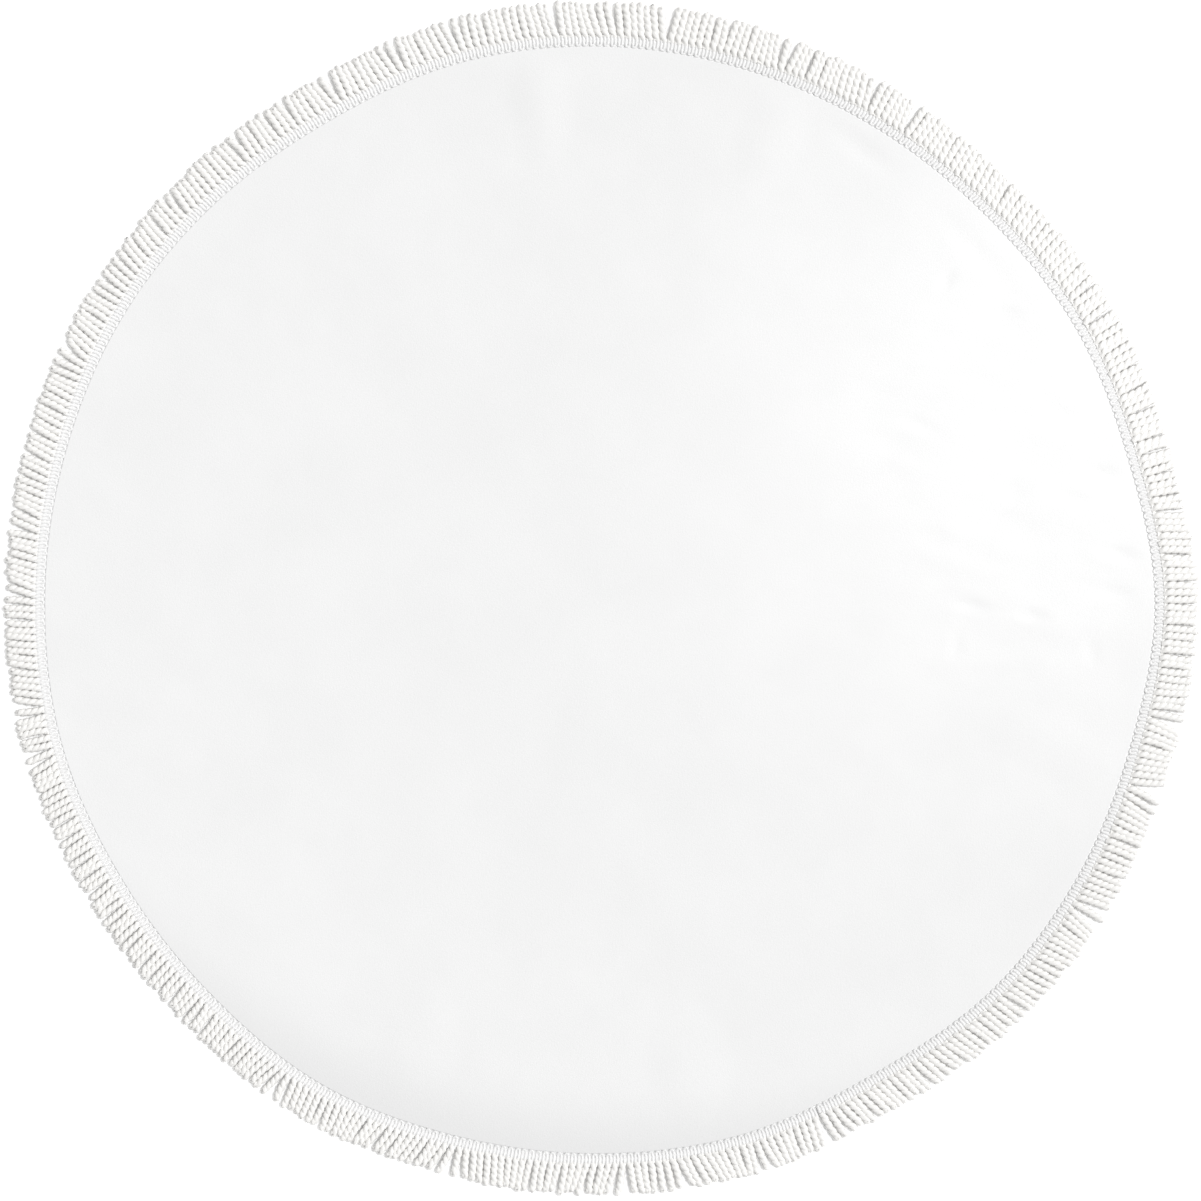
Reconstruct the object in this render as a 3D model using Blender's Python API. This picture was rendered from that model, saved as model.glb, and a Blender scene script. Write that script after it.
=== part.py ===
"""Round beach towel: one round sheet of towelling with a twisted fringe sewn over its edge.

Units are metres and +Z is up. The towel lies face up on z = 0, with its box centred on the Z axis.
Angles run counter-clockwise from +X, seen from above.
"""
import math

import bmesh
import bpy
from mathutils import Vector

# Sizes of the cloth
RIM_RADIUS = 0.698             # mean radius of the line where the heading's inner edge crosses the cloth
CLOTH_THICKNESS = 0.0025
HEM_THICKNESS = 0.0010         # pressed flat by the stitches under the heading
HEM_OVERLAP = 0.0040           # how far the cloth runs on under the heading
RIM_SLOPE = 0.030              # width of the band in which the cloth thins towards the heading

# How far the rim departs from a true circle, in millimetres, one value for every 15 degrees
RIM_OFFSETS = (
    2.0, -8.0, -6.0, -9.5, -6.5, -2.0, 3.0, 5.0, -1.0, 2.5, 5.0, 4.0,
    4.5, 6.5, 1.5, 1.5, 7.0, 2.0, 0.0, -1.0, -8.5, -1.5, -2.5, -4.5,
)

# Sizes of the fringe
HEADING_WIDTH = 0.0145
HEADING_INNER_BOTTOM = 0.0019  # the heading's inner edge lies on the pressed hem
HEADING_INNER_TOP = 0.0040
HEADING_OUTER_TOP = 0.0058
LOCK_COUNT = 248               # each lock stands for two of the twisted strands
LOCK_SHARE = 0.83              # part of the pitch that a lock fills, the rest is the gap to the next
LOCK_LENGTH = 0.0400
LOCK_BEND = 1.25               # above 1 a lock leaves the heading straight and leans more towards its tip
LOCK_CLEARANCE = 0.0008        # least space between two locks that lean together
JOIN_ANGLE = 293.0             # where the two ends of the fringe meet
JOIN_GAP = 0.0025

# Sections of a lock: share of its length, share of its root's width, height
LOCK_SECTIONS = (
    (0.35, 1.00, 0.0075),
    (0.85, 0.95, 0.0075),
    (1.00, 0.55, 0.0042),
)

# Clumps of locks: angle at which the clump ends, lean of its first and of its last lock, in degrees.
# A lean is positive where the tips point on round the rim.
CLUMPS = (
    (5.0, 0, -4),
    (10.5, -10, -4),
    (18.5, 0, 3),
    (33.0, 4, 6),
    (45.0, 8, 12),
    (50.0, 14, 10),
    (57.0, 12, -6),
    (61.5, 10, -5),
    (71.0, 14, -6),
    (77.5, 12, -10),
    (83.0, 2, -8),
    (90.0, 0, 12),
    (94.0, 18, 4),
    (104.2, 15, -2),
    (107.3, 18, 8),
    (110.5, 12, 0),
    (117.5, 18, -4),
    (122.7, 15, -4),
    (128.3, 5, -3),
    (137.3, 5, -9),
    (144.7, -4, -14),
    (150.5, -6, 2),
    (155.3, -4, -18),
    (166.0, 2, -13),
    (173.0, -8, -15),
    (179.7, 0, -20),
    (190.7, -2, -16),
    (195.2, 2, -2),
    (203.0, 12, 3),
    (225.5, 6, 4),
    (236.3, 9, -15),
    (245.0, 6, 2),
    (255.3, -15, -14),
    (260.7, 10, 4),
    (272.5, -2, -16),
    (277.0, 8, -2),
    (282.0, 14, 18),
    (286.0, 11, -5),
    (293.0, 15, -10),
    (300.0, 4, 18),
    (306.8, 8, 12),
    (312.0, 18, 10),
    (324.0, 6, 17),
    (327.5, -12, -14),
    (337.5, 10, 0),
    (340.7, -10, -15),
    (348.5, 15, -14),
    (360.0, 5, -2),
)

# Low swells of the cloth: centre x and y, direction of the crest in degrees, half length, half width, height
SWELLS = (
    (0.556, 0.322, 33.0, 0.120, 0.060, 0.0022),
    (0.610, 0.120, 4.0, 0.110, 0.045, 0.0026),
    (0.560, -0.020, -4.0, 0.130, 0.050, 0.0022),
    (0.585, -0.185, -18.0, 0.110, 0.050, 0.0018),
    (0.215, 0.590, 68.0, 0.100, 0.050, 0.0016),
    (-0.075, 0.620, 95.0, 0.100, 0.045, 0.0018),
    (-0.590, -0.127, 0.0, 0.110, 0.040, 0.0014),
    (0.110, -0.580, -80.0, 0.090, 0.060, 0.0016),
    (-0.230, -0.560, 68.0, 0.090, 0.060, 0.0016),
)

# Mesh steps of the cloth
CLOTH_SECTORS = 84
CLOTH_RINGS = (0.18, 0.34, 0.46, 0.55, 0.63, 0.70, 0.77, 0.84, 0.90, 0.95, 1.0)

# Colours and finishes
CLOTH_COLOUR = (0.90, 0.90, 0.90, 1.0)
FRINGE_COLOUR = (0.88, 0.86, 0.82, 1.0)
COTTON_ROUGHNESS = 0.95

MERGE_DISTANCE = 0.00001
SHARP_ANGLE = math.radians(40)
MILLIMETRE = 0.001


def clear_scene():
    """Remove the objects that a new file starts with."""
    for item in list(bpy.data.objects):
        bpy.data.objects.remove(item, do_unlink=True)


def cotton(name, colour):
    """Make the dull white material of a cotton piece."""
    material = bpy.data.materials.new(name)
    material.use_nodes = True
    shader = material.node_tree.nodes["Principled BSDF"]
    shader.inputs["Base Color"].default_value = colour
    shader.inputs["Roughness"].default_value = COTTON_ROUGHNESS
    shader.inputs["Metallic"].default_value = 0.0
    return material


def rim_offset(angle):
    """Smooth curve through the rim's offsets, closed on itself."""
    count = len(RIM_OFFSETS)
    place = (angle / math.tau * count) % count
    step = int(place)
    t = place - step
    a, b, c, d = (RIM_OFFSETS[(step + k) % count] for k in (-1, 0, 1, 2))
    curve = b + 0.5 * t * (c - a + t * (2 * a - 5 * b + 4 * c - d + t * (3 * (b - c) + d - a)))
    return curve * MILLIMETRE


def rim_radius(angle):
    """Radius of the heading's inner edge at an angle."""
    return RIM_RADIUS + rim_offset(angle)


def polar(radius, angle, height):
    """Point at a radius, an angle and a height."""
    return Vector((radius * math.cos(angle), radius * math.sin(angle), height))


def smooth(value):
    """Ease from 0 to 1."""
    value = min(max(value, 0.0), 1.0)
    return value * value * (3 - 2 * value)


def swell_height(x, y):
    """How far the underside stands off the floor at a point of the cloth."""
    height = 0.0
    for centre_x, centre_y, direction, half_length, half_width, crest in SWELLS:
        turn = math.radians(direction)
        along = (x - centre_x) * math.cos(turn) + (y - centre_y) * math.sin(turn)
        across = (y - centre_y) * math.cos(turn) - (x - centre_x) * math.sin(turn)
        distance = math.hypot(along / half_length, across / half_width)
        height += crest * smooth(1 - distance)
    return height


def cloth_thickness(inward):
    """Thickness at a distance inside the heading's inner edge, thinner towards the pressed hem."""
    share = smooth((inward + HEM_OVERLAP) / (RIM_SLOPE + HEM_OVERLAP))
    return HEM_THICKNESS + (CLOTH_THICKNESS - HEM_THICKNESS) * share


def cloth_profile(mesh):
    """Half section of the sheet, from the middle of the underside round the edge to the middle of the top."""
    radii = [0.0] + [share * RIM_RADIUS for share in CLOTH_RINGS]
    points = [Vector((radius, 0.0, 0.0)) for radius in radii]
    points.append(Vector((RIM_RADIUS + HEM_OVERLAP, 0.0, 0.0)))
    points.append(Vector((RIM_RADIUS + HEM_OVERLAP, 0.0, CLOTH_THICKNESS)))
    points += [Vector((radius, 0.0, CLOTH_THICKNESS)) for radius in reversed(radii)]
    corners = [mesh.verts.new(point) for point in points]
    edges = [mesh.edges.new(pair) for pair in zip(corners, corners[1:])]
    return corners + edges


def build_cloth():
    """Turn the half section into a round sheet, then give it the uneven rim and the low swells.

    The swells die out before the heading, so that the hem lies flat under it.
    """
    mesh = bmesh.new()
    bmesh.ops.spin(mesh, geom=cloth_profile(mesh), cent=(0, 0, 0), axis=(0, 0, 1), dvec=(0, 0, 0),
                   angle=math.tau, steps=CLOTH_SECTORS, use_merge=True, use_duplicate=False)
    bmesh.ops.remove_doubles(mesh, verts=mesh.verts[:], dist=MERGE_DISTANCE)
    for corner in mesh.verts:
        angle = math.atan2(corner.co.y, corner.co.x)
        radius = math.hypot(corner.co.x, corner.co.y)
        inward = RIM_RADIUS - radius
        radius += rim_offset(angle) * smooth(radius / RIM_RADIUS)
        point = polar(radius, angle, 0.0)
        lift = swell_height(point.x, point.y) * smooth(inward / RIM_SLOPE)
        top = cloth_thickness(inward) if corner.co.z > 0 else 0.0
        corner.co = polar(radius, angle, lift + top)
    return finish_mesh(mesh, "cloth", cotton("white_towelling", CLOTH_COLOUR))


def lean_at(angle):
    """Lean of the lock at an angle in degrees, read from its clump."""
    start = 0.0
    for end, first, last in CLUMPS:
        if angle <= end:
            share = (angle - start) / (end - start)
            return math.radians(first + (last - first) * share)
        start = end
    return math.radians(CLUMPS[0][1])


def lock_angles():
    """Start and end angle of each lock's root, from one end of the fringe to the other."""
    gap = JOIN_GAP / RIM_RADIUS
    start = math.radians(JOIN_ANGLE) + gap / 2
    pitch = (math.tau - gap) / (LOCK_COUNT - 1 + LOCK_SHARE)
    return [(start + pitch * i, start + pitch * (i + LOCK_SHARE)) for i in range(LOCK_COUNT)]


def tip_shifts(angles):
    """How far each tip is shifted round the rim; locks that lean together push each other apart."""
    shifts = []
    for start, end in angles:
        middle = math.degrees((start + end) / 2) % 360
        shifts.append(LOCK_LENGTH * math.sin(lean_at(middle)))
    widest, wide_share, _ = LOCK_SECTIONS[1]
    pitch = angles[1][0] - angles[0][0]
    spacing = pitch * (RIM_RADIUS + HEADING_WIDTH + LOCK_LENGTH * widest)
    root_width = pitch * LOCK_SHARE * (RIM_RADIUS + HEADING_WIDTH)
    room = (spacing - wide_share * root_width - LOCK_CLEARANCE) / widest ** LOCK_BEND
    for _ in range(LOCK_COUNT):
        for i in range(LOCK_COUNT - 1):
            excess = shifts[i] - shifts[i + 1] - room
            if excess > 0:
                shifts[i] -= excess / 2
                shifts[i + 1] += excess / 2
    return shifts


def lock_section(start, end, shift, section):
    """Four corners of one section of a lock, keyed by side of the lock and by top or bottom."""
    share, width_share, height = section
    middle = (start + end) / 2
    root = rim_radius(middle) + HEADING_WIDTH
    outward = math.sqrt(LOCK_LENGTH ** 2 - shift ** 2) * share
    round_rim = Vector((-math.sin(middle), math.cos(middle), 0.0))
    centre = polar(root + outward, middle, 0.0) + round_rim * shift * share ** LOCK_BEND
    half = round_rim * root * (end - start) * width_share / 2
    up = Vector((0.0, 0.0, height))
    return {(0, 0): centre - half, (1, 0): centre + half,
            (0, 1): centre - half + up, (1, 1): centre + half + up}


def spin_heading(mesh, angles):
    """Turn the heading's section round the rim, cut at both sides of each lock, with a face at each end.

    The section is first spun through half a turn, which numbers its copies by their angle, and then each
    copy goes to its own place on the rim. Returns the piece of outer wall from which each lock grows.
    """
    inner, outer = RIM_RADIUS, RIM_RADIUS + HEADING_WIDTH
    section = ((inner, HEADING_INNER_BOTTOM), (inner, HEADING_INNER_TOP),
               (outer, HEADING_OUTER_TOP), (outer, 0.0))
    first = mesh.faces.new([mesh.verts.new((radius, 0.0, height)) for radius, height in section])
    columns = [angle for pair in angles for angle in pair]
    step = math.pi / len(columns)
    spun = bmesh.ops.spin(mesh, geom=first.verts[:] + first.edges[:], cent=(0, 0, 0), axis=(0, 0, 1),
                          dvec=(0, 0, 0), angle=step * (len(columns) - 1), steps=len(columns) - 1,
                          use_merge=False, use_duplicate=False)
    last = [item for item in spun["geom_last"] if isinstance(item, bmesh.types.BMVert)]
    bmesh.ops.contextual_create(mesh, geom=last)
    copy_of = {corner: round(math.atan2(corner.co.y, corner.co.x) / step) for corner in mesh.verts}
    walls = {}
    for face in mesh.faces:
        on_outside = all(math.hypot(*corner.co.xy) > (inner + outer) / 2 for corner in face.verts)
        if on_outside:
            walls[min(copy_of[corner] for corner in face.verts)] = face
    for corner, column in copy_of.items():
        radius = math.hypot(*corner.co.xy) + rim_offset(columns[column])
        corner.co = polar(radius, columns[column], corner.co.z)
    return [walls[2 * lock] for lock in range(LOCK_COUNT)]


def grow_locks(mesh, walls, angles):
    """Extrude each lock from its wall, section by section."""
    shifts = tip_shifts(angles)
    for face, (start, end), shift in zip(walls, angles, shifts):
        middle = (start + end) / 2
        round_rim = Vector((-math.sin(middle), math.cos(middle), 0.0))
        for section in LOCK_SECTIONS:
            face = bmesh.ops.extrude_discrete_faces(mesh, faces=[face])["faces"][0]
            corners = lock_section(start, end, shift, section)
            centre = face.calc_center_median()
            for corner in face.verts:
                side = int((corner.co - centre).dot(round_rim) > 0)
                level = int(corner.co.z > centre.z)
                corner.co = corners[(side, level)]


def build_fringe():
    """Build the heading with its locks as one piece, the way such a fringe is made."""
    mesh = bmesh.new()
    angles = lock_angles()
    walls = spin_heading(mesh, angles)
    grow_locks(mesh, walls, angles)
    return finish_mesh(mesh, "fringe", cotton("ivory_cotton", FRINGE_COLOUR))


def finish_mesh(mesh, name, material):
    """Make an object of a mesh, with its faces turned outwards and its rounded parts shaded smooth."""
    bmesh.ops.recalc_face_normals(mesh, faces=mesh.faces[:])
    data = bpy.data.meshes.new(name)
    mesh.to_mesh(data)
    mesh.free()
    data.shade_smooth()
    data.set_sharp_from_angle(angle=SHARP_ANGLE)
    data.materials.append(material)
    return bpy.data.objects.new(name, data)


def centre_on_axis(pieces):
    """Shift the pieces together so that their common box is centred on the Z axis."""
    points = [corner.co for piece in pieces for corner in piece.data.vertices]
    shift = Vector((0.0, 0.0, 0.0))
    for axis in (0, 1):
        values = [point[axis] for point in points]
        shift[axis] = -(min(values) + max(values)) / 2
    for point in points:
        point += shift


def main():
    """Build the towel in a collection of its own."""
    clear_scene()
    collection = bpy.data.collections.new("round_beach_towel")
    bpy.context.scene.collection.children.link(collection)
    pieces = [build_cloth(), build_fringe()]
    centre_on_axis(pieces)
    for piece in pieces:
        collection.objects.link(piece)


main()
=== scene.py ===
"""Looks of the round beach towel: sheared towelling, a knitted heading, a twisted fringe."""

import math
import random

import bmesh
import bpy
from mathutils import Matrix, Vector, noise


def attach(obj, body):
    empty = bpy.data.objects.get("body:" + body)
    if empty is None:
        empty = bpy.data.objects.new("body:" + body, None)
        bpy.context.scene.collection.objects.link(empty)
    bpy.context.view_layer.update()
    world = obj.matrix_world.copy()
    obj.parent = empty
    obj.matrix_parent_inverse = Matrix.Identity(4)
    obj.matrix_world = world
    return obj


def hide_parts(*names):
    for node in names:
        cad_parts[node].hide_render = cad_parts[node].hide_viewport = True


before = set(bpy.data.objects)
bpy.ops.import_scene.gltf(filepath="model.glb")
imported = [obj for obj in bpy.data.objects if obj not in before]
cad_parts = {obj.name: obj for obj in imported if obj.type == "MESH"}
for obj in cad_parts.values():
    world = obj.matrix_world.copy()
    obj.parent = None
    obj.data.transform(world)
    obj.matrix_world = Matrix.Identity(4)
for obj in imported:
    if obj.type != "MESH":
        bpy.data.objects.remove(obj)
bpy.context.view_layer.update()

# The cloth, with the same sizes as its solid; all lengths are in metres
RIM_CENTRE = Vector((0.00128, -0.00159, 0.0))   # the rim's middle, from the middle of the box
RIM_RADIUS = 0.698             # of the heading's inner edge
HEM_OVERLAP = 0.0040           # breadth of the cloth's edge under the heading
CUT_RADIUS = RIM_RADIUS + HEM_OVERLAP
CLOTH_THICKNESS = 0.0025
HEM_THICKNESS = 0.0010
THINNEST = 0.0007              # what the cloth keeps under its deepest puckers
RIM_SLOPE = 0.030              # breadth over which swells and puckers fade out at the rim
PILE_SLOPE = 0.0014            # the pile's edge stands up steeply along the heading
PILE_UNEVENNESS = 0.00022
PILE_WAVES = 28.0              # waves of the pile's unevenness to a metre
CLOTH_SECTORS = 720
# Rings of the cloth's mesh: radius at which a part of them ends, and their number
CLOTH_RINGS = ((0.40, 8), (0.688, 40), (0.6960, 3), (0.6985, 6), (CUT_RADIUS, 2))

# The next three tables are in thousandths, with values evenly spaced round the rim from +X
THOUSANDTH = 0.001

# How far the rim departs from a true circle, every 15 degrees
RIM_OFFSETS = (
    2.0, -8.0, -6.0, -9.5, -6.5, -2.0, 3.0, 5.0, -1.0, 2.5, 5.0, 4.0,
    4.5, 6.5, 1.5, 1.5, 7.0, 2.0, 0.0, -1.0, -8.5, -1.5, -2.5, -4.5,
)

# How much longer or shorter the strands are cut, every 30 degrees
STRAND_TRIMS = (3.0, 2.5, 2.0, 4.0, 1.0, -1.0, -3.0, -4.5, -3.0, -0.5, 0.0, 3.0)

# How much fuller the strands are, as a share, every 30 degrees; a fuller strand is twisted less
STRAND_FULLNESS = (170.0, 200.0, 150.0, 110.0, 70.0, 40.0, 50.0, 0.0, -30.0, 0.0, 40.0, 50.0)

# Low swells of the cloth: centre x and y, direction of the crest in degrees, half length,
# half width, height
SWELLS = (
    (0.556, 0.322, 33.0, 0.120, 0.060, 0.0022),
    (0.610, 0.120, 4.0, 0.110, 0.045, 0.0026),
    (0.560, -0.020, -4.0, 0.130, 0.050, 0.0022),
    (0.585, -0.185, -18.0, 0.110, 0.050, 0.0018),
    (0.215, 0.590, 68.0, 0.100, 0.050, 0.0016),
    (-0.075, 0.620, 95.0, 0.100, 0.045, 0.0018),
    (-0.590, -0.127, 0.0, 0.110, 0.040, 0.0014),
    (0.110, -0.580, -80.0, 0.090, 0.060, 0.0016),
    (-0.230, -0.560, 68.0, 0.090, 0.060, 0.0016),
)

# Small puckers of the cloth, laid out as the swells are; a negative height is a dimple
PUCKERS = (
    (0.437, 0.405, 60.0, 0.022, 0.011, -0.0016),
    (0.506, 0.364, 0.0, 0.034, 0.013, -0.0018),
    (0.579, 0.238, -8.0, 0.030, 0.011, -0.0017),
    (0.586, 0.262, -8.0, 0.030, 0.012, 0.0012),
    (0.404, 0.222, -20.0, 0.036, 0.012, -0.0014),
    (0.519, 0.140, 5.0, 0.034, 0.018, -0.0014),
    (0.592, 0.132, -10.0, 0.036, 0.013, -0.0016),
    (0.628, 0.164, -8.0, 0.044, 0.013, -0.0018),
    (0.655, 0.060, -12.0, 0.042, 0.013, -0.0020),
    (0.648, 0.011, -6.0, 0.040, 0.016, -0.0016),
    (0.470, -0.006, -8.0, 0.036, 0.013, -0.0018),
    (0.546, -0.018, -6.0, 0.030, 0.012, -0.0018),
    (0.449, -0.056, 88.0, 0.026, 0.010, -0.0010),
    (0.620, -0.063, 95.0, 0.026, 0.012, -0.0011),
    (0.330, 0.570, -36.0, 0.070, 0.022, -0.0014),
    (0.475, 0.440, -46.0, 0.090, 0.022, -0.0012),
)

# Crinkled part of the cloth: centre x and y, half width, half height, depth of the crinkles
CRINKLES = (0.50, 0.15, 0.24, 0.36, 0.0008)
CRINKLE_WAVES = (18.0, 5.0, 45.0)     # crinkles to a metre along x, their slant, and along y

# Painted shade: beyond a circle round this centre the cloth's colour is painted darker, along the
# bottom rim on the side away from the key light
PAINTED_SHADE_CENTRE = (0.052, 0.245, 0.0)
PAINTED_SHADE_RADII = (0.855, 0.965)     # where the change begins and ends
PAINTED_SHADE_WANDER = 0.05              # how far its edge wanders
# how dark the painted shade is, as a share of the cloth's colour
PAINTED_SHADE_TONE = 0.90

# The fringe; distances outward are measured from the heading's inner edge
STRAND_COUNT = 496
STRAND_ROOT = 0.0125           # outward distance at which the strands part
STRAND_END = 0.0543            # outward distance of the tips of straight strands
STRAND_BEND = 1.02             # 1 for a straight strand, more for one that bends near its tip
JOIN_ANGLE = 293.0             # where the two ends of the fringe meet, in degrees
JOIN_GAP = 0.0012
# A strand is one yarn, folded at the tip, with its halves twisted together as two plies
PLY_RADIUS = 0.0034
PLY_OFFSET = 0.0014            # from the strand's axis to the middle of a ply
PLY_SQUASH = 0.72              # the strands lie a little flattened,
PLY_FLATNESS = 0.58            # and so do the plies: height over width
PLY_SHARES = [-0.02 + 1.02 * i / 18 for i in range(19)]   # points along a ply, from the root
BEND_STEPS = [math.radians(45 * i) for i in (1, 2, 3)]    # points round a tip or a loop
STRAND_LAY = 0.0163            # length of one full turn of the plies
STRAND_NESTING = 0.0024        # how far the lobes of touching strands sink between each other
FLOOR_CLEARANCE = 0.0003
ROOT_THICKNESS = 0.86          # the yarn's thickness at the heading, against that in the strand
ROOT_LENGTH = 0.18             # share of the strand over which the yarn swells
ROOT_SPREAD = 0.0006           # how much further apart the plies are at the heading
ROOT_LIFT = 0.0002             # how far the plies come down from the ribs

# How unlike its neighbours a strand is
LEAN_SPREAD = 3.5              # degrees
PARTING_REACH = 0.4            # degrees to each side over which strands share a parting
LENGTH_SPREAD = (-0.0030, 0.0012)
LAY_SPREAD = (0.90, 1.10)
CURL_SPREAD = 0.0007
RISE_SPREAD = 0.0005
TURN_SPREAD = 0.25             # radians

# The heading; a rib is the strand's yarn where it crosses the heading
RIB_RADIUS = 0.0016
RIB_FLATNESS = 0.80            # a rib's height over its width
RIB_HEIGHT = 0.0025            # height of the middle of a rib
RIB_SWAY = 0.0001
LOOP_DROP = 0.0010             # how much lower the loops lie at the heading's inner edge
LOOP_END = 0.0006              # outward distance of the loops' turns
LOOP_SPREAD = 0.0003
LOOP_FULLNESS = 0.55           # depth of a loop's turn over its half width
STITCH_ROWS = (0.0026, 0.0064)
STITCH_DIP = 0.0010            # how deep a row of stitches draws the ribs down
STITCH_REACH = 0.0014          # how far to each side of the row it draws them down
STITCH_RADIUS = 0.0003
# Points of a stitch over a rib: place across the rib, from -1 to 1, and depth below its top
STITCH_POINTS = ((-0.95, 0.0016), (-0.5, 0.0001), (0.5, 0.0001), (0.95, 0.0016))
# Points of a rib, outward distances from the strand's root to the loop
RIB_WAYS = (STRAND_ROOT + 0.0035, 0.0105, 0.0082, STITCH_ROWS[1], 0.0045, STITCH_ROWS[0])
# Section of the backing strip under the ribs: outward distance and height
BAND_SECTION = (
    (0.0012, 0.0010), (0.0012, 0.0018), (0.0075, 0.0027), (STRAND_ROOT, 0.0028),
    (STRAND_ROOT, 0.0014), (0.0075, 0.0012),
)

# Studio
FLOOR_SIZE = 40.0
# Painted light: the floor glows, faintly under the towel and strongly round it, washing out the
# shadows that the strand tips cast on it
GLOW_RADII = (0.735, 0.775)    # the floor's light from below grows between these radii,
GLOW_STRENGTHS = (0.04, 0.42)  # from the first strength to the second
KEY_PLACE = (3.39, 0.91, 4.2)
KEY_STRENGTH = 2.20
KEY_ANGLE = 22.0
REFLECTOR_PLACE = (1.50, 1.10, 3.0)
REFLECTOR_TARGET = (0.60, 0.26, 0.0)
REFLECTOR_POWER = 60.0
REFLECTOR_ANGLE = 17.0
REFLECTOR_SOFTNESS = 0.25
SKY_STRENGTH = 0.525
PIXEL = 0.0012632              # width of one pixel of the photograph on the floor
FRAME_WIDTH = 1201 * PIXEL
FRAME_MIDDLE = (1.0 * PIXEL, -0.5 * PIXEL)      # from the middle of the box

# Clumps of strands: angle at which a clump ends, lean of its first and of its last strand,
# in degrees. A lean is positive where the tips point on round the rim.
CLUMPS = (
    (5.0, 0, -4),
    (10.5, -10, -4),
    (18.5, 0, 3),
    (33.0, 4, 6),
    (45.0, 8, 12),
    (50.0, 14, 10),
    (57.0, 12, -6),
    (61.5, 10, -5),
    (71.0, 14, -6),
    (77.5, 12, -10),
    (83.0, 2, -12),
    (90.0, 6, 12),
    (94.0, 18, 4),
    (104.2, 15, -2),
    (107.3, 18, 8),
    (110.5, 12, 0),
    (117.5, 18, -4),
    (122.7, 15, -4),
    (128.3, 5, -3),
    (137.3, 5, -9),
    (144.7, -4, -14),
    (150.5, -6, 2),
    (155.3, -4, -18),
    (166.0, 2, -13),
    (173.0, -8, -15),
    (179.7, 0, -20),
    (190.7, -2, -16),
    (195.2, 2, -2),
    (203.0, 12, 3),
    (225.5, 6, 4),
    (236.3, 9, -15),
    (245.0, 6, 2),
    (255.3, -15, -14),
    (260.7, 10, 4),
    (272.5, -2, -16),
    (277.0, 8, -2),
    (282.0, 14, 18),
    (286.0, 11, -5),
    (292.3, 12, -4),
    (293.0, -2, 1),
    (294.0, 5, 9),
    (300.0, 13, 18),
    (306.8, 8, 12),
    (312.0, 18, 10),
    (324.0, 6, 17),
    (327.5, -12, -14),
    (337.5, 10, 0),
    (340.7, -10, -15),
    (348.5, 15, -14),
    (360.0, 5, -2),
)

draw = random.Random(7)


def round_rim(table, angle):
    """Smooth curve through a table of thousandths that are evenly spaced round the rim."""
    count = len(table)
    place = (angle / math.tau * count) % count
    step = int(place)
    t = place - step
    a, b, c, d = (table[(step + k) % count] for k in (-1, 0, 1, 2))
    curve = b + 0.5 * t * (c - a + t * (2 * a - 5 * b + 4 * c - d + t * (3 * (b - c) + d - a)))
    return curve * THOUSANDTH


def on_rim(outward, angle, height):
    """Point at a distance outside the heading's inner edge, at an angle and a height."""
    radius = RIM_RADIUS + round_rim(RIM_OFFSETS, angle) + outward
    return RIM_CENTRE + Vector((radius * math.cos(angle), radius * math.sin(angle), height))


def smooth(value):
    """Ease from 0 to 1."""
    value = min(max(value, 0.0), 1.0)
    return value * value * (3 - 2 * value)


# Nodes

def node(tree, kind, **settings):
    """Add a node and set what it is given."""
    made = tree.nodes.new(kind)
    for name, value in settings.items():
        setattr(made, name, value)
    return made


def feed(tree, into, **sources):
    """Fill a node's inputs, named with _ for a space, from outputs or from plain values."""
    for name, source in sources.items():
        label = name.replace("_", " ")
        socket = next(item for item in into.inputs if item.name == label and item.enabled)
        if isinstance(source, bpy.types.NodeSocket):
            tree.links.new(source, socket)
        else:
            socket.default_value = source
    return into


def sums(tree, operation, *terms):
    """Maths node with its inputs filled in order."""
    made = node(tree, "ShaderNodeMath", operation=operation)
    for socket, term in zip(made.inputs, terms):
        if isinstance(term, bpy.types.NodeSocket):
            tree.links.new(term, socket)
        else:
            socket.default_value = term
    return made.outputs[0]


def group_tree(name, kind, inputs, outputs):
    """New node group with named inputs and outputs."""
    tree = bpy.data.node_groups.new(name, kind)
    for label, socket_type, value in inputs:
        socket = tree.interface.new_socket(label, in_out="INPUT", socket_type=socket_type)
        if value is not None:
            socket.default_value = value
    for label, socket_type in outputs:
        tree.interface.new_socket(label, in_out="OUTPUT", socket_type=socket_type)
    return tree, node(tree, "NodeGroupInput"), node(tree, "NodeGroupOutput")


def shaped_by(tree, name, source, **values):
    """Run a geometry tree on a mesh of guide points and keep the result as a plain mesh."""
    guide = bpy.data.objects.new(name, source)
    bpy.context.scene.collection.objects.link(guide)
    modifier = guide.modifiers.new("shape", "NODES")
    modifier.node_group = tree
    for item in tree.interface.items_tree:
        label = item.name.replace(" ", "_")
        if item.in_out == "INPUT" and label in values:
            modifier[item.identifier] = values[label]
    bpy.context.view_layer.update()
    graph = bpy.context.evaluated_depsgraph_get()
    data = bpy.data.meshes.new_from_object(guide.evaluated_get(graph))
    bpy.data.objects.remove(guide)
    data.name = name
    return link_piece(name, data)


def link_piece(name, data):
    """Put a mesh in the scene with its faces turned outwards and shaded smooth."""
    mesh = bmesh.new()
    mesh.from_mesh(data)
    bmesh.ops.recalc_face_normals(mesh, faces=mesh.faces[:])
    mesh.to_mesh(data)
    mesh.free()
    data.shade_smooth()
    piece = bpy.data.objects.new(name, data)
    bpy.context.scene.collection.objects.link(piece)
    return piece


# Materials

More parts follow.
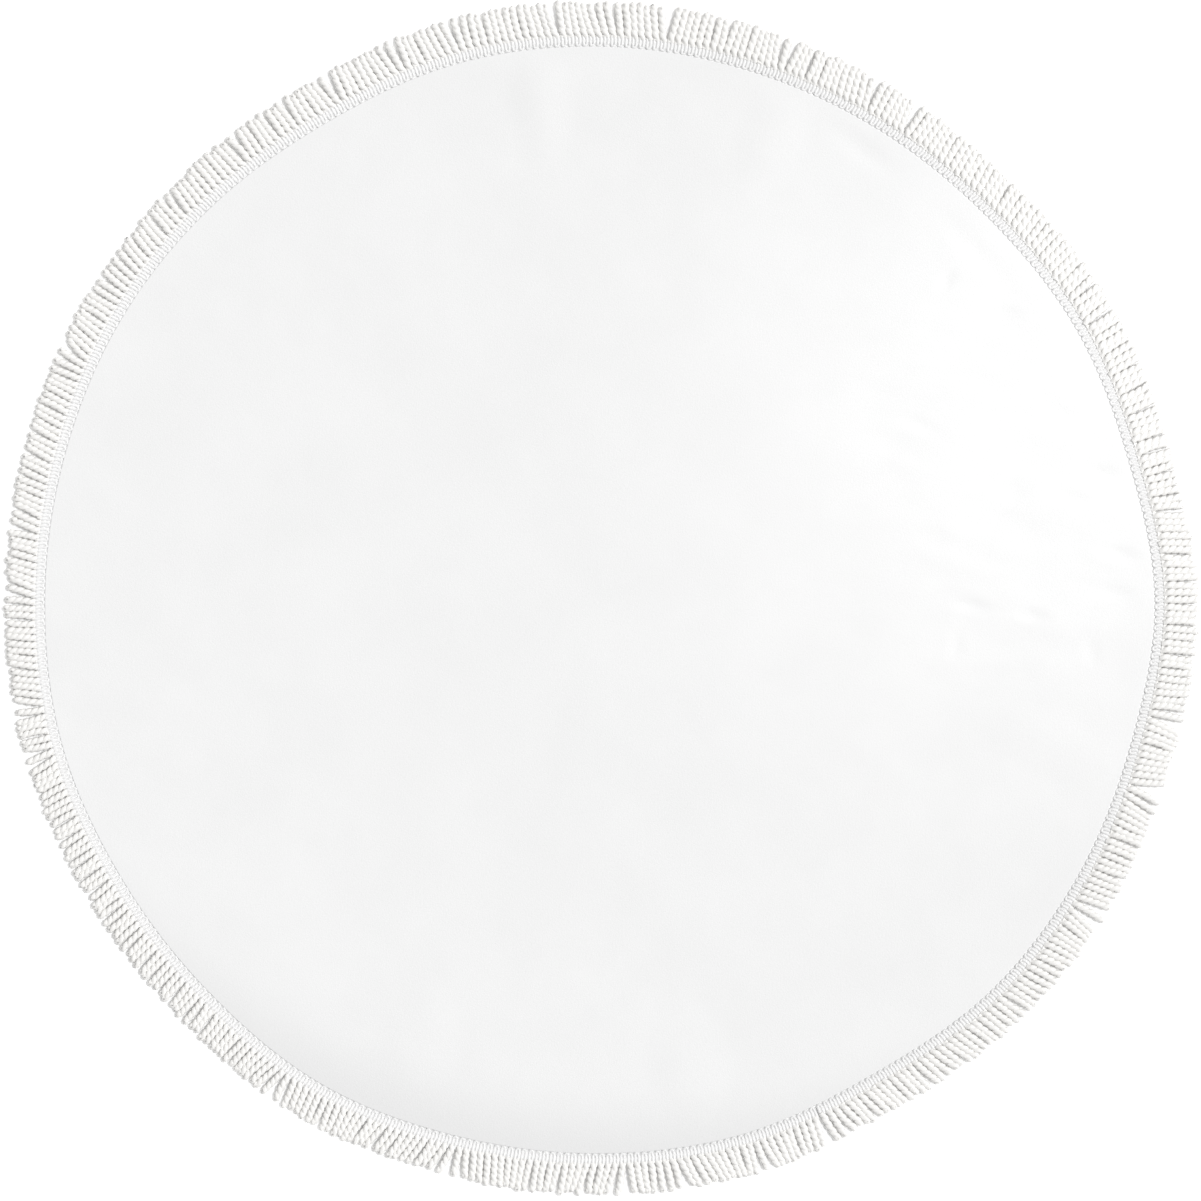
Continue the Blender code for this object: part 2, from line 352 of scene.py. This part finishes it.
def fibre_group():
    """Soft lumps and fine fuzz of cotton, for any of the towel's yarns."""
    tree, into, out = group_tree(
        "cotton_fibre", "ShaderNodeTree",
        [("Tuft Scale", "NodeSocketFloat", 300.0), ("Fuzz Scale", "NodeSocketFloat", 1500.0),
         ("Fuzz Share", "NodeSocketFloat", 0.4)],
        [("Height", "NodeSocketFloat"), ("Tone", "NodeSocketFloat")])
    place = node(tree, "ShaderNodeTexCoord").outputs["Object"]
    tufts = feed(tree, node(tree, "ShaderNodeTexNoise"), Vector=place,
                 Scale=into.outputs["Tuft Scale"], Detail=2.0, Roughness=0.5)
    fuzz = feed(tree, node(tree, "ShaderNodeTexNoise"), Vector=place,
                Scale=into.outputs["Fuzz Scale"], Detail=1.0, Roughness=0.5)
    share = into.outputs["Fuzz Share"]
    coarse = sums(tree, "MULTIPLY", tufts.outputs[0], sums(tree, "SUBTRACT", 1.0, share))
    fine = sums(tree, "MULTIPLY", fuzz.outputs[0], share)
    tree.links.new(sums(tree, "ADD", coarse, fine), out.inputs["Height"])
    tree.links.new(tufts.outputs[0], out.inputs["Tone"])
    return tree


def twist_group():
    """Fine threads wound round a yarn, read from the attributes that the yarn's mesh carries."""
    tree, into, out = group_tree(
        "yarn_twist", "ShaderNodeTree",
        [("Threads", "NodeSocketFloat", 5.0), ("Turns", "NodeSocketFloat", 120.0),
         ("Fuzz", "NodeSocketFloat", 0.5)],
        [("Height", "NodeSocketFloat")])
    around = node(tree, "ShaderNodeAttribute", attribute_name="around")
    along = node(tree, "ShaderNodeAttribute", attribute_name="along")
    parts = node(tree, "ShaderNodeSeparateXYZ")
    tree.links.new(around.outputs["Vector"], parts.inputs[0])
    turn = sums(tree, "ARCTAN2", parts.outputs["Y"], parts.outputs["X"])
    wound = sums(tree, "MULTIPLY", turn, into.outputs["Threads"])
    turns = sums(tree, "MULTIPLY", into.outputs["Turns"], math.tau)
    drawn = sums(tree, "MULTIPLY", along.outputs["Fac"], turns)
    phase = sums(tree, "ADD", sums(tree, "ADD", wound, drawn), into.outputs["Fuzz"])
    wave = sums(tree, "SINE", phase)
    tree.links.new(sums(tree, "MULTIPLY_ADD", wave, 0.5, 0.5), out.inputs["Height"])
    return tree


def add_twist(tree, twist, fibre, threads, turns):
    """Place the twist group, its threads made uneven by the fibre's lumps."""
    made = node(tree, "ShaderNodeGroup", node_tree=twist)
    fuzz = sums(tree, "MULTIPLY", fibre.outputs["Tone"], 4.0)
    feed(tree, made, Threads=threads, Turns=turns, Fuzz=fuzz)
    return sums(tree, "MULTIPLY_ADD", made.outputs["Height"], 0.5,
                sums(tree, "MULTIPLY", fibre.outputs["Height"], 0.8))


def new_material(name, roughness, sheen):
    """Material with a Principled shader of dull cotton."""
    material = bpy.data.materials.new(name)
    material.use_nodes = True
    shader = material.node_tree.nodes["Principled BSDF"]
    shader.inputs["Roughness"].default_value = roughness
    shader.inputs["Sheen Weight"].default_value = sheen
    shader.inputs["Sheen Roughness"].default_value = 0.5
    shader.inputs["Specular IOR Level"].default_value = 0.2
    return material, material.node_tree, shader


def add_fibre(tree, fibre, tuft_scale, fuzz_scale, fuzz_share):
    """Place the fibre group with this material's own values."""
    made = node(tree, "ShaderNodeGroup", node_tree=fibre)
    return feed(tree, made, Tuft_Scale=tuft_scale, Fuzz_Scale=fuzz_scale, Fuzz_Share=fuzz_share)


def add_bump(tree, shader, height, distance, strength):
    """Lift the surface by a height in the shader's normal."""
    bump = feed(tree, node(tree, "ShaderNodeBump"), Height=height, Distance=distance,
                Strength=strength)
    tree.links.new(bump.outputs["Normal"], shader.inputs["Normal"])


def mixed_colour(tree, factor, low, high):
    """Colour between two, by a factor."""
    made = node(tree, "ShaderNodeMix", data_type="RGBA")
    tree.links.new(factor, made.inputs["Factor"])
    made.inputs[6].default_value = (*low, 1.0)
    made.inputs[7].default_value = (*high, 1.0)
    return made.outputs[2]


def spread(tree, value, low, high):
    """Bring a range of values to 0 to 1, eased at both ends."""
    made = node(tree, "ShaderNodeMapRange", interpolation_type="SMOOTHSTEP")
    feed(tree, made, Value=value, From_Min=low, From_Max=high)
    return made.outputs[0]


def towelling_material(fibre):
    """Sheared white towelling with an uneven pile and a tone that varies a little, with painted
    shade along its bottom rim, away from the key light.
    """
    material, tree, shader = new_material("white_towelling", roughness=0.95, sheen=0.15)
    pile = add_fibre(tree, fibre, tuft_scale=420.0, fuzz_scale=1700.0, fuzz_share=0.5)
    place = node(tree, "ShaderNodeTexCoord").outputs["Object"]
    drift = feed(tree, node(tree, "ShaderNodeTexNoise"), Vector=place,
                 Scale=7.0, Detail=3.0, Roughness=0.55)
    tone = sums(tree, "ADD", sums(tree, "MULTIPLY", drift.outputs[0], 0.7),
                sums(tree, "MULTIPLY", pile.outputs["Tone"], 0.3))
    colour = mixed_colour(tree, spread(tree, tone, 0.3, 0.7),
                          (0.850, 0.850, 0.850), (0.876, 0.876, 0.876))
    # Painted shade: the cloth is painted darker beyond a ragged circle, along its bottom rim away
    # from the key light
    edge = node(tree, "ShaderNodeVectorMath", operation="DISTANCE")
    tree.links.new(place, edge.inputs[0])
    edge.inputs[1].default_value = PAINTED_SHADE_CENTRE
    wander = sums(tree, "MULTIPLY", drift.outputs[0], PAINTED_SHADE_WANDER)
    painted_shade_edge = sums(tree, "ADD", edge.outputs["Value"], wander)
    near, far = (radius + PAINTED_SHADE_WANDER / 2 for radius in PAINTED_SHADE_RADII)
    turned = spread(tree, painted_shade_edge, near, far)
    # turned is the mask of the painted shade, which multiplies the cloth's colour
    shaded = node(tree, "ShaderNodeMix", data_type="RGBA", blend_type="MULTIPLY")
    tree.links.new(turned, shaded.inputs["Factor"])
    tree.links.new(colour, shaded.inputs[6])
    shaded.inputs[7].default_value = (PAINTED_SHADE_TONE, PAINTED_SHADE_TONE, PAINTED_SHADE_TONE, 1.0)
    tree.links.new(shaded.outputs[2], shader.inputs["Base Color"])
    add_bump(tree, shader, pile.outputs["Height"], distance=0.0012, strength=0.35)
    return material


def knitted_material(fibre, twist):
    """White cotton of the heading's yarns."""
    material, tree, shader = new_material("heading_cotton", roughness=0.9, sheen=0.1)
    yarn = add_fibre(tree, fibre, tuft_scale=700.0, fuzz_scale=2400.0, fuzz_share=0.5)
    colour = mixed_colour(tree, spread(tree, yarn.outputs["Tone"], 0.3, 0.7),
                          (0.845, 0.843, 0.842), (0.890, 0.888, 0.887))
    tree.links.new(colour, shader.inputs["Base Color"])
    threads = add_twist(tree, twist, yarn, threads=4.0, turns=160.0)
    add_bump(tree, shader, threads, distance=0.0005, strength=0.4)
    return material


def strand_material(fibre, twist):
    """Ivory cotton of the twisted strands."""
    material, tree, shader = new_material("strand_cotton", roughness=0.9, sheen=0.1)
    yarn = add_fibre(tree, fibre, tuft_scale=600.0, fuzz_scale=2200.0, fuzz_share=0.5)
    colour = mixed_colour(tree, spread(tree, yarn.outputs["Tone"], 0.3, 0.7),
                          (0.884, 0.872, 0.853), (0.924, 0.917, 0.901))
    tree.links.new(colour, shader.inputs["Base Color"])
    threads = add_twist(tree, twist, yarn, threads=6.0, turns=130.0)
    add_bump(tree, shader, threads, distance=0.0006, strength=0.4)
    return material


# Cloth

def bumps_at(table, x, y):
    """Height of a table of swells or puckers at a point."""
    height = 0.0
    for centre_x, centre_y, direction, half_length, half_width, crest in table:
        if math.hypot(x - centre_x, y - centre_y) < half_length:
            turn = math.radians(direction)
            along = (x - centre_x) * math.cos(turn) + (y - centre_y) * math.sin(turn)
            across = (y - centre_y) * math.cos(turn) - (x - centre_x) * math.sin(turn)
            height += crest * smooth(1 - math.hypot(along / half_length, across / half_width))
    return height


def crinkles_at(x, y):
    """Height of the crinkles at a point; they run across the cloth."""
    centre_x, centre_y, half_width, half_height, depth = CRINKLES
    apart = math.hypot((x - centre_x) / half_width, (y - centre_y) / half_height)
    share = smooth(1.5 - 1.5 * apart)
    if not share:
        return 0.0
    along_x, slant, along_y = CRINKLE_WAVES
    return depth * share * noise.noise(Vector((x * along_x + y * slant, y * along_y, 3.0)))


def cloth_heights(x, y, inward):
    """Height of the underside and of the top at a point of the cloth."""
    fade = smooth(inward / RIM_SLOPE)
    lift = bumps_at(SWELLS, x, y) * fade
    share = smooth(inward / PILE_SLOPE)
    thickness = HEM_THICKNESS + (CLOTH_THICKNESS - HEM_THICKNESS) * share
    unevenness = noise.noise(Vector((x, y, 0.0)) * PILE_WAVES) * PILE_UNEVENNESS
    puckers = bumps_at(PUCKERS, x, y) + crinkles_at(x, y)
    return lift, lift + max(thickness + (unevenness + puckers) * fade, THINNEST)


def build_cloth():
    """Spin the sheet's half section into rings, then give it its uneven rim and its heights."""
    radii = [0.0]
    for end, rings in CLOTH_RINGS:
        start = radii[-1]
        radii += [start + (end - start) * (i + 1) / rings for i in range(rings)]
    mesh = bmesh.new()
    corners = [mesh.verts.new((radius, 0.0, 0.0)) for radius in radii]
    corners += [mesh.verts.new((radius, 0.0, CLOTH_THICKNESS)) for radius in reversed(radii)]
    edges = [mesh.edges.new(pair) for pair in zip(corners, corners[1:])]
    bmesh.ops.spin(mesh, geom=corners + edges, cent=(0, 0, 0), axis=(0, 0, 1), dvec=(0, 0, 0),
                   angle=math.tau, steps=CLOTH_SECTORS, use_merge=True, use_duplicate=False)
    bmesh.ops.remove_doubles(mesh, verts=mesh.verts[:], dist=0.00001)
    for corner in mesh.verts:
        angle = math.atan2(corner.co.y, corner.co.x)
        radius = math.hypot(*corner.co.xy)
        inward = RIM_RADIUS - radius
        radius += round_rim(RIM_OFFSETS, angle) * smooth(radius / RIM_RADIUS)
        x, y = radius * math.cos(angle), radius * math.sin(angle)
        heights = cloth_heights(x, y, inward)
        corner.co = RIM_CENTRE + Vector((x, y, heights[int(corner.co.z > 0)]))
    data = bpy.data.meshes.new("towelling_sheet")
    mesh.to_mesh(data)
    mesh.free()
    return link_piece("towelling_sheet", data)


# Fringe

def clump_lean(angle):
    """Lean at an angle in degrees, read from its clump."""
    angle %= 360
    start = 0.0
    for end, first, last in CLUMPS:
        if angle <= end:
            return first + (last - first) * (angle - start) / (end - start)
        start = end
    return CLUMPS[0][1]


def lean_at(angle):
    """Lean of the strand at an angle in degrees; the strands beside a parting share it."""
    return sum(clump_lean(angle + aside) for aside in (-PARTING_REACH, 0.0, PARTING_REACH)) / 3


def strand_angles():
    """Angle of the middle of each strand, from one end of the fringe to the other."""
    gap = JOIN_GAP / RIM_RADIUS
    start = math.radians(JOIN_ANGLE) + gap / 2
    pitch = (math.tau - gap) / STRAND_COUNT
    return [start + pitch * (i + 0.5) for i in range(STRAND_COUNT)]


def tip_shifts(angles):
    """How far each tip is shifted round the rim; strands that lean together push apart."""
    length = STRAND_END - STRAND_ROOT
    shifts = []
    for angle in angles:
        lean = lean_at(math.degrees(angle)) + draw.uniform(-LEAN_SPREAD, LEAN_SPREAD)
        shifts.append(length * math.sin(math.radians(lean)))
    spacing = (angles[1] - angles[0]) * (RIM_RADIUS + STRAND_END)
    room = spacing - 2 * (PLY_RADIUS + PLY_OFFSET) + STRAND_NESTING
    for _ in range(STRAND_COUNT):
        for i in range(STRAND_COUNT - 1):
            excess = shifts[i] - shifts[i + 1] - room
            if excess > 0:
                shifts[i] -= excess / 2
                shifts[i + 1] += excess / 2
    return shifts


def root_thickness(share):
    """Thickness of the yarn along a strand, less where it leaves the heading."""
    return ROOT_THICKNESS + (1 - ROOT_THICKNESS) * smooth(share / ROOT_LENGTH)


def strand_path(angle, shift):
    """Middle line of one strand's yarn and its thickness: out, round the tip and back."""
    fullness = 1 + round_rim(STRAND_FULLNESS, angle)
    length = STRAND_END - STRAND_ROOT + round_rim(STRAND_TRIMS, angle)
    length += draw.uniform(*LENGTH_SPREAD)
    curl = draw.gauss(0.0, CURL_SPREAD)
    rise = abs(draw.gauss(0.0, RISE_SPREAD))
    lay = STRAND_LAY * fullness * draw.uniform(*LAY_SPREAD)
    phase = draw.gauss(0.0, TURN_SPREAD)
    reach = PLY_RADIUS + PLY_OFFSET
    aside_rim = Vector((-math.sin(angle), math.cos(angle), 0.0))
    outward = math.sqrt(length ** 2 - shift ** 2) - reach

    def turn_at(share):
        return math.tau * outward * max(share, 0.0) / lay + phase

    def spine(share):
        part = max(share, 0.0)
        sideways = shift * part ** STRAND_BEND + curl * math.sin(math.pi * part)
        stand = abs(math.sin(turn_at(share))) if turn_at(share) < math.pi / 2 else 1.0
        height = PLY_RADIUS * PLY_FLATNESS * fullness * root_thickness(share)
        height += PLY_OFFSET * PLY_SQUASH * stand
        height += FLOOR_CLEARANCE + rise * math.sin(math.pi * part) + ROOT_LIFT * (1 - part)
        return on_rim(STRAND_ROOT + outward * share, angle, height) + aside_rim * sideways

    first, second = [], []
    for share in PLY_SHARES:
        middle = spine(share)
        ahead = (spine(share + 0.01) - spine(share - 0.01)).normalized()
        aside = ahead.cross(Vector((0.0, 0.0, 1.0))).normalized()
        turn = turn_at(share)
        across = aside * math.cos(turn) + Vector((0.0, 0.0, PLY_SQUASH)) * math.sin(turn)
        apart = PLY_OFFSET + ROOT_SPREAD * (1 - smooth(share / ROOT_LENGTH))
        first.append(middle + across * apart)
        second.append(middle - across * apart)
    tip = [middle + (across * math.cos(bend) + ahead * math.sin(bend)) * PLY_OFFSET
           for bend in BEND_STEPS]
    ply = [fullness * root_thickness(share) for share in PLY_SHARES]
    return first + tip + second[::-1], ply + [fullness] * len(tip) + ply[::-1]


def rib_height(outward):
    """Height of the middle of a rib, drawn down at each row of stitches."""
    height = RIB_HEIGHT - LOOP_DROP * (1 - smooth(outward / STITCH_ROWS[0]))
    for row in STITCH_ROWS:
        height -= STITCH_DIP * smooth(1 - abs(outward - row) / STITCH_REACH)
    return height


def rib_path(angle, quarter):
    """Middle line of the yarn across the heading: in along one rib and out along the next."""
    sway = draw.gauss(0.0, RIB_SWAY)
    inner = LOOP_END + draw.uniform(-LOOP_SPREAD, LOOP_SPREAD)
    half = quarter * RIM_RADIUS
    bend = [(inner + half * (1 - math.sin(turn)) * LOOP_FULLNESS, math.cos(turn))
            for turn in BEND_STEPS]
    line = [(way, 1.0) for way in RIB_WAYS] + bend + [(way, -1.0) for way in reversed(RIB_WAYS)]
    aside_rim = Vector((-math.sin(angle), math.cos(angle), 0.0))
    return [on_rim(way, angle, rib_height(way)) + aside_rim * (half * side + sway)
            for way, side in line]


def stitch_path(angle, row, quarter):
    """Middle line of one stitch over a rib."""
    top = rib_height(row) + RIB_RADIUS * RIB_FLATNESS
    return [on_rim(row, angle + quarter * side, top - drop) for side, drop in STITCH_POINTS]


def yarn_tree():
    """Geometry tree that lays round yarn along guide lines."""
    number = "NodeSocketFloat"
    tree, into, out = group_tree(
        "laid_yarn", "GeometryNodeTree",
        [("Geometry", "NodeSocketGeometry", None), ("Yarn Radius", number, PLY_RADIUS),
         ("Flatness", number, 1.0), ("Sides", "NodeSocketInt", 5),
         ("Finish", "NodeSocketMaterial", None)],
        [("Geometry", "NodeSocketGeometry")])
    lines = feed(tree, node(tree, "GeometryNodeMeshToCurve"), Mesh=into.outputs["Geometry"])
    along = node(tree, "GeometryNodeSplineParameter")
    measured = node(tree, "GeometryNodeStoreNamedAttribute", data_type="FLOAT", domain="POINT")
    feed(tree, measured, Geometry=lines.outputs[0], Name="along", Value=along.outputs["Length"])
    upright = feed(tree, node(tree, "GeometryNodeSetCurveNormal", mode="Z_UP"),
                   Curve=measured.outputs[0])
    circle = feed(tree, node(tree, "GeometryNodeCurvePrimitiveCircle", mode="RADIUS"),
                  Resolution=into.outputs["Sides"], Radius=into.outputs["Yarn Radius"])
    around = node(tree, "ShaderNodeVectorMath", operation="NORMALIZE")
    tree.links.new(node(tree, "GeometryNodeInputPosition").outputs[0], around.inputs[0])
    marked = node(tree, "GeometryNodeStoreNamedAttribute", data_type="FLOAT_VECTOR", domain="POINT")
    feed(tree, marked, Geometry=circle.outputs[0], Name="around", Value=around.outputs[0])
    size = feed(tree, node(tree, "ShaderNodeCombineXYZ"), X=1.0, Y=into.outputs["Flatness"], Z=1.0)
    pressed = feed(tree, node(tree, "GeometryNodeTransform"), Geometry=marked.outputs[0],
                   Scale=size.outputs[0])
    thickness = feed(tree, node(tree, "GeometryNodeInputNamedAttribute", data_type="FLOAT"),
                     Name="thickness")
    body = feed(tree, node(tree, "GeometryNodeCurveToMesh"), Curve=upright.outputs[0],
                Profile_Curve=pressed.outputs[0], Scale=thickness.outputs[0], Fill_Caps=True)
    whole = feed(tree, node(tree, "GeometryNodeRealizeInstances"), Geometry=body.outputs[0])
    painted = feed(tree, node(tree, "GeometryNodeSetMaterial"), Geometry=whole.outputs[0],
                   Material=into.outputs["Finish"])
    tree.links.new(painted.outputs[0], out.inputs[0])
    return tree


def guide_lines(name, lines, widths=None):
    """Mesh of open lines, with the yarn's thickness at each point."""
    if widths is None:
        widths = [[1.0] * len(line) for line in lines]
    edges = []
    start = 0
    for line in lines:
        edges += [(start + i, start + i + 1) for i in range(len(line) - 1)]
        start += len(line)
    data = bpy.data.meshes.new(name)
    data.from_pydata([point for line in lines for point in line], edges, [])
    thickness = data.attributes.new("thickness", "FLOAT", "POINT")
    for i, width in enumerate(width for line in widths for width in line):
        thickness.data[i].value = width
    return data


def build_strands(tree, material):
    """All strands, in one piece for each half of the rim."""
    angles = strand_angles()
    paths = [strand_path(angle, shift) for angle, shift in zip(angles, tip_shifts(angles))]
    half = STRAND_COUNT // 2
    pieces = []
    for name, part in (("strands_right", paths[:half]), ("strands_left", paths[half:])):
        pieces.append(shaped_by(tree, name, guide_lines(name, *zip(*part)), Finish=material,
                                Yarn_Radius=PLY_RADIUS, Flatness=PLY_FLATNESS, Sides=6))
    return pieces


def heading_band(material):
    """Thin backing strip under the heading's yarns, from one end of the fringe to the other."""
    angles = strand_angles()
    pitch = angles[1] - angles[0]
    columns = [angles[0] - pitch / 2 + pitch / 2 * i for i in range(2 * STRAND_COUNT + 1)]
    mesh = bmesh.new()
    rows = [[mesh.verts.new(on_rim(outward, angle, height)) for outward, height in BAND_SECTION]
            for angle in columns]
    for near, far in zip(rows, rows[1:]):
        for i in range(len(BAND_SECTION)):
            following = (i + 1) % len(BAND_SECTION)
            mesh.faces.new((near[i], near[following], far[following], far[i]))
    mesh.faces.new(rows[0])
    mesh.faces.new(rows[-1])
    data = bpy.data.meshes.new("heading_band")
    mesh.to_mesh(data)
    mesh.free()
    data.materials.append(material)
    return link_piece("heading_band", data)


def build_heading(tree, material):
    """The backing strip, the ribs of yarn on it and the rows of stitches over them."""
    angles = strand_angles()
    quarter = (angles[1] - angles[0]) / 4
    ribs = [rib_path(angle, quarter) for angle in angles]
    stitches = [stitch_path(angle + side * quarter, row, quarter)
                for row in STITCH_ROWS for angle in angles for side in (-1, 1)]
    widths = [[1 + round_rim(STRAND_FULLNESS, angle)] * len(rib)
              for angle, rib in zip(angles, ribs)]
    rib_piece = shaped_by(tree, "heading_ribs", guide_lines("heading_ribs", ribs, widths),
                          Finish=material, Yarn_Radius=RIB_RADIUS, Flatness=RIB_FLATNESS, Sides=6)
    stitch_piece = shaped_by(tree, "heading_stitches", guide_lines("heading_stitches", stitches),
                             Finish=material, Yarn_Radius=STITCH_RADIUS, Sides=4)
    return [heading_band(material), rib_piece, stitch_piece]


# Studio

def build_floor():
    """Plain white floor that glows round the towel: painted light that washes out the shadows of
    the strand tips.
    """
    bpy.ops.mesh.primitive_plane_add(size=FLOOR_SIZE, location=(0.0, 0.0, 0.0))
    floor = bpy.context.object
    floor.name = "floor"
    material = bpy.data.materials.new("pale_floor")
    material.use_nodes = True
    tree = material.node_tree
    shader = tree.nodes["Principled BSDF"]
    shader.inputs["Base Color"].default_value = (0.97, 0.97, 0.97, 1.0)
    shader.inputs["Roughness"].default_value = 1.0
    shader.inputs["Specular IOR Level"].default_value = 0.0
    shader.inputs["Emission Color"].default_value = (1.0, 1.0, 1.0, 1.0)
    place = node(tree, "ShaderNodeTexCoord").outputs["Object"]
    radius = node(tree, "ShaderNodeVectorMath", operation="LENGTH")
    tree.links.new(place, radius.inputs[0])
    # painted light: the floor's glow, faint under the towel and strong beyond the strand tips
    glow = node(tree, "ShaderNodeMapRange", interpolation_type="SMOOTHSTEP")
    feed(tree, glow, Value=radius.outputs["Value"], From_Min=GLOW_RADII[0], From_Max=GLOW_RADII[1],
         To_Min=GLOW_STRENGTHS[0], To_Max=GLOW_STRENGTHS[1])
    tree.links.new(glow.outputs[0], shader.inputs["Emission Strength"])
    floor.data.materials.append(material)


def aimed(item, target):
    """Turn a lamp or camera towards a point."""
    item.rotation_euler = (Vector(target) - item.location).to_track_quat("-Z", "Y").to_euler()


def build_lights():
    """Soft key from the right, a soft spot on the towel's upper right and an even pale sky."""
    key_lamp = bpy.data.lights.new("key", "SUN")
    key_lamp.energy = KEY_STRENGTH
    key_lamp.angle = math.radians(KEY_ANGLE)
    key = bpy.data.objects.new("key", key_lamp)
    key.location = KEY_PLACE
    spot_lamp = bpy.data.lights.new("reflector", "SPOT")
    spot_lamp.energy = REFLECTOR_POWER
    spot_lamp.shadow_soft_size = REFLECTOR_SOFTNESS
    spot_lamp.spot_size = math.radians(REFLECTOR_ANGLE)
    spot_lamp.spot_blend = 0.8
    spot = bpy.data.objects.new("reflector", spot_lamp)
    spot.location = REFLECTOR_PLACE
    for lamp, target in ((key, (0.0, 0.0, 0.0)), (spot, REFLECTOR_TARGET)):
        aimed(lamp, target)
        bpy.context.scene.collection.objects.link(lamp)
    world = bpy.data.worlds.new("studio")
    world.use_nodes = True
    sky = world.node_tree.nodes["Background"]
    sky.inputs["Color"].default_value = (1.0, 1.0, 1.0, 1.0)
    sky.inputs["Strength"].default_value = SKY_STRENGTH
    bpy.context.scene.world = world


def build_camera():
    """Long lens straight above the towel, with the photograph's frame."""
    lens = bpy.data.cameras.new("camera")
    lens.lens = 100.0
    lens.sensor_width = 36.0
    camera = bpy.data.objects.new("camera", lens)
    camera.location = (*FRAME_MIDDLE, FRAME_WIDTH * lens.lens / lens.sensor_width)
    bpy.context.scene.collection.objects.link(camera)
    bpy.context.scene.camera = camera
    bpy.context.scene.view_settings.view_transform = "Standard"


# The towel

build_camera()
build_lights()
build_floor()

fibre = fibre_group()
twist = twist_group()
cloth = build_cloth()
cloth.data.materials.append(towelling_material(fibre))
yarn = yarn_tree()
heading = build_heading(yarn, knitted_material(fibre, twist))
strands = build_strands(yarn, strand_material(fibre, twist))

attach(cloth, "root")
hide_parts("cloth")
for piece in heading + strands:
    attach(piece, "root")
    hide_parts("fringe")
